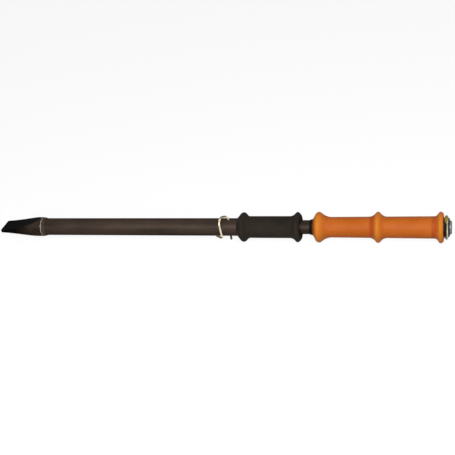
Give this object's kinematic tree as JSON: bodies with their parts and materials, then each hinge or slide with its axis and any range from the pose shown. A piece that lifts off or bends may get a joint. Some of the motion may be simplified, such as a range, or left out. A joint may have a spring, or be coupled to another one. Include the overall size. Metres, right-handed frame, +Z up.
{
  "type": "slide hammer wood splitter",
  "caption": "Slide hammer wood splitter: chisel blade welded to a steel tube with a rubber grip, sliding rod with a flanged handle and lock nut, and a bent wire lock pin.",
  "frame": {"origin": "on the floor, under the middle of the tool's length, with the rod fully down", "axes": "+X along the tool from the cutting edge to the rod's threaded end, +Z up, -Y towards the side that the picture shows"},
  "size_m": [1.1168, 0.072, 0.072],
  "materials": {
    "forged_steel": "forged and blackened, hollow faces",
    "weld_metal": "bare weld",
    "browned_steel": "dark brown oiled steel",
    "black_rubber": "matt moulded rubber",
    "natural_nylon": "plain nylon",
    "orange_moulding": "satin orange moulding",
    "yellow_zinc": "yellow zinc plated",
    "bright_steel": "turned steel"
  },
  "bodies": {
    "tube_body": {"splitting_blade": "forged_steel", "weld_bead": "weld_metal", "guide_tube": "browned_steel", "guide_bush": "natural_nylon", "lower_grip": "black_rubber"},
    "rod_body": {"hammer_rod": "browned_steel", "slide_ring_lower": "natural_nylon", "slide_ring_upper": "natural_nylon", "stop_collar": "bright_steel", "rubber_buffer": "black_rubber", "upper_grip": "orange_moulding", "end_washer": "yellow_zinc", "lock_nut": "yellow_zinc", "nylon_insert": "natural_nylon"},
    "pin_body": {"lock_pin": "yellow_zinc"}
  },
  "joints": [
    {"name": "rod_slide", "type": "slide", "parent": "tube_body", "child": "rod_body", "axis": [1, 0, 0], "range_m": [0, 0.38]},
    {"name": "lock_pin_pull", "type": "slide", "parent": "tube_body", "child": "pin_body", "axis": [0, 0, 1], "range_m": [0, 0.062]}
  ]
}
